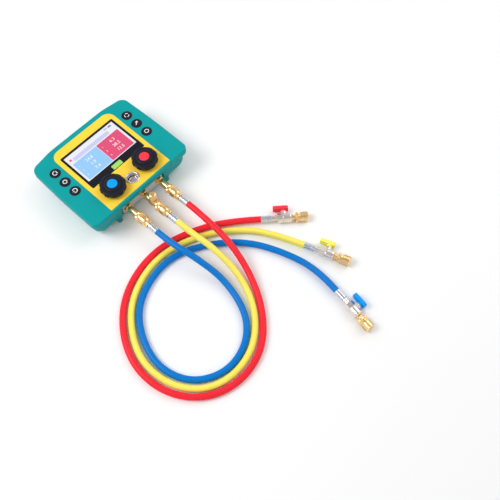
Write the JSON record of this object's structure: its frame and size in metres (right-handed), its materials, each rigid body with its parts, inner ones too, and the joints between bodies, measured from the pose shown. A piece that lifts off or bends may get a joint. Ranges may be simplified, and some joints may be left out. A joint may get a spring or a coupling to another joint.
{
  "type": "refrigerant manifold gauge",
  "caption": "Digital refrigerant manifold gauge with screen, keypad, turning valve knobs, sight glass and looped charging hoses with ball valves.",
  "frame": {"origin": "on the table, under the middle of the gauge and its port fittings, hoses left out", "axes": "+X across the face to the right, +Y up the face from the ports to the top edge, +Z out of the face"},
  "size_m": [0.386, 0.595, 0.072],
  "materials": {
    "teal_shell": "fine satin moulding",
    "yellow_panel": "satin moulding",
    "black_gloss": "gloss",
    "window_glass": "clear",
    "display": "lit picture behind the window",
    "green_badge": "blank plate",
    "circuit_board": "solder mask",
    "black_rubber": "matt",
    "black_soft_grip": "satin grip",
    "button_plastic": "satin",
    "block_aluminium": "machined and anodised",
    "brass": "turned",
    "nickel": "nickel plated",
    "steel": "turned",
    "blue_plastic": "gloss",
    "red_plastic": "gloss",
    "yellow_plastic": "gloss",
    "low_hose_rubber": "smooth outer cover",
    "centre_hose_rubber": "smooth outer cover",
    "high_hose_rubber": "smooth outer cover",
    "battery_wrap": "gloss",
    "ferrule_steel": "plated"
  },
  "bodies": {
    "root": {"front_shell": "teal_shell", "rear_shell": "teal_shell", "face_panel": "yellow_panel", "screen_bezel": "black_gloss", "display_window": "window_glass", "display_module": "display", "badge_plate": "green_badge", "main_board": "circuit_board", "keypad_mat": "black_rubber", "button_bezels": "black_gloss", "manifold_block": "block_aluminium", "valve_bonnets": "brass", "sight_glass_ring": "nickel", "sight_glass_nut": "nickel", "sight_glass_lens": "window_glass", "centre_port_tee": "brass", "pressure_sensors": "steel", "battery_cells": "battery_wrap", "battery_door": "teal_shell", "rubber_feet": "black_rubber", "probe_sockets": "yellow_plastic", "shell_screws": "steel", "block_screws": "steel", "near_couplers": "brass", "hose_tails": "brass", "ferrules": "ferrule_steel", "valve_nipples": "brass", "low_port": "brass", "high_port": "brass", "low_hose": "low_hose_rubber", "low_valve_body": "nickel", "centre_hose": "centre_hose_rubber", "centre_valve_body": "nickel", "high_hose": "high_hose_rubber", "high_valve_body": "nickel"},
    "low_knob": {"low_knob": "black_soft_grip", "low_knob_cap": "blue_plastic", "low_stem": "steel"},
    "low_piston": {"low_piston": "brass"},
    "high_knob": {"high_knob": "black_soft_grip", "high_knob_cap": "red_plastic", "high_stem": "steel"},
    "high_piston": {"high_piston": "brass"},
    "left_top_button": {"left_top_button": "button_plastic"},
    "left_middle_button": {"left_middle_button": "button_plastic"},
    "left_bottom_button": {"left_bottom_button": "button_plastic"},
    "right_top_button": {"right_top_button": "button_plastic"},
    "right_middle_button": {"right_middle_button": "button_plastic"},
    "right_bottom_button": {"right_bottom_button": "button_plastic"},
    "low_lever": {"low_valve_lever": "blue_plastic", "low_valve_ball": "nickel"},
    "low_coupler": {"low_far_coupler": "brass"},
    "centre_lever": {"centre_valve_lever": "yellow_plastic", "centre_valve_ball": "nickel"},
    "centre_coupler": {"centre_far_coupler": "brass"},
    "high_lever": {"high_valve_lever": "red_plastic", "high_valve_ball": "nickel"},
    "high_coupler": {"high_far_coupler": "brass"},
    "tee_cap": {"tee_cap": "brass"},
    "bail": {"hanging_bail": "steel"}
  },
  "joints": [
    {"name": "low_knob_turn", "type": "hinge", "parent": "root", "child": "low_knob", "pos_m": [-0.0357, -0.0342, 0.056], "axis": [0, 0, 1], "range_deg": [0, 720]},
    {"name": "low_piston_lift", "type": "slide", "parent": "root", "child": "low_piston", "axis": [0, 0, 1], "range_m": [0, 0.003]},
    {"name": "high_knob_turn", "type": "hinge", "parent": "root", "child": "high_knob", "pos_m": [0.0357, -0.0342, 0.056], "axis": [0, 0, 1], "range_deg": [0, 720]},
    {"name": "high_piston_lift", "type": "slide", "parent": "root", "child": "high_piston", "axis": [0, 0, 1], "range_m": [0, 0.003]},
    {"name": "left_top_button_press", "type": "slide", "parent": "root", "child": "left_top_button", "axis": [0, 0, -1], "range_m": [0, 0.0008], "stiffness_N_per_m": 500},
    {"name": "left_middle_button_press", "type": "slide", "parent": "root", "child": "left_middle_button", "axis": [0, 0, -1], "range_m": [0, 0.0008], "stiffness_N_per_m": 500},
    {"name": "left_bottom_button_press", "type": "slide", "parent": "root", "child": "left_bottom_button", "axis": [0, 0, -1], "range_m": [0, 0.0008], "stiffness_N_per_m": 500},
    {"name": "right_top_button_press", "type": "slide", "parent": "root", "child": "right_top_button", "axis": [0, 0, -1], "range_m": [0, 0.0008], "stiffness_N_per_m": 500},
    {"name": "right_middle_button_press", "type": "slide", "parent": "root", "child": "right_middle_button", "axis": [0, 0, -1], "range_m": [0, 0.0008], "stiffness_N_per_m": 500},
    {"name": "right_bottom_button_press", "type": "slide", "parent": "root", "child": "right_bottom_button", "axis": [0, 0, -1], "range_m": [0, 0.0008], "stiffness_N_per_m": 500},
    {"name": "low_lever_turn", "type": "hinge", "parent": "root", "child": "low_lever", "pos_m": [0.0807, -0.44958, 0.0086], "axis": [0.9842, -0.177, 0], "range_deg": [0, 90]},
    {"name": "low_coupler_spin", "type": "hinge", "parent": "root", "child": "low_coupler", "pos_m": [0.07719, -0.46907, 0.0086], "axis": [-0.177, -0.9842, 0], "continuous": true},
    {"name": "centre_lever_turn", "type": "hinge", "parent": "root", "child": "centre_lever", "pos_m": [0.12859, -0.35657, 0.0086], "axis": [0.9429, 0.3332, 0], "range_deg": [0, 90]},
    {"name": "centre_coupler_spin", "type": "hinge", "parent": "root", "child": "centre_coupler", "pos_m": [0.13519, -0.37524, 0.0086], "axis": [0.3332, -0.9429, 0], "continuous": true},
    {"name": "high_lever_turn", "type": "hinge", "parent": "root", "child": "high_lever", "pos_m": [0.13167, -0.26137, 0.0086], "axis": [0.6915, 0.7223, 0], "range_deg": [0, 90]},
    {"name": "high_coupler_spin", "type": "hinge", "parent": "root", "child": "high_coupler", "pos_m": [0.14597, -0.27506, 0.0086], "axis": [0.7223, -0.6915, 0], "continuous": true},
    {"name": "tee_cap_lift", "type": "slide", "parent": "root", "child": "tee_cap", "axis": [0, 0, 1], "range_m": [0, 0.02]},
    {"name": "bail_swing", "type": "hinge", "parent": "root", "child": "bail", "pos_m": [0, 0.0795, 0.0046], "axis": [1, 0, 0], "range_deg": [0, 180]}
  ],
  "couplings": [
    {"joint": "low_knob_turn", "follows": "low_piston_lift", "rad_per_m": 4188.8},
    {"joint": "high_knob_turn", "follows": "high_piston_lift", "rad_per_m": 4188.8}
  ]
}
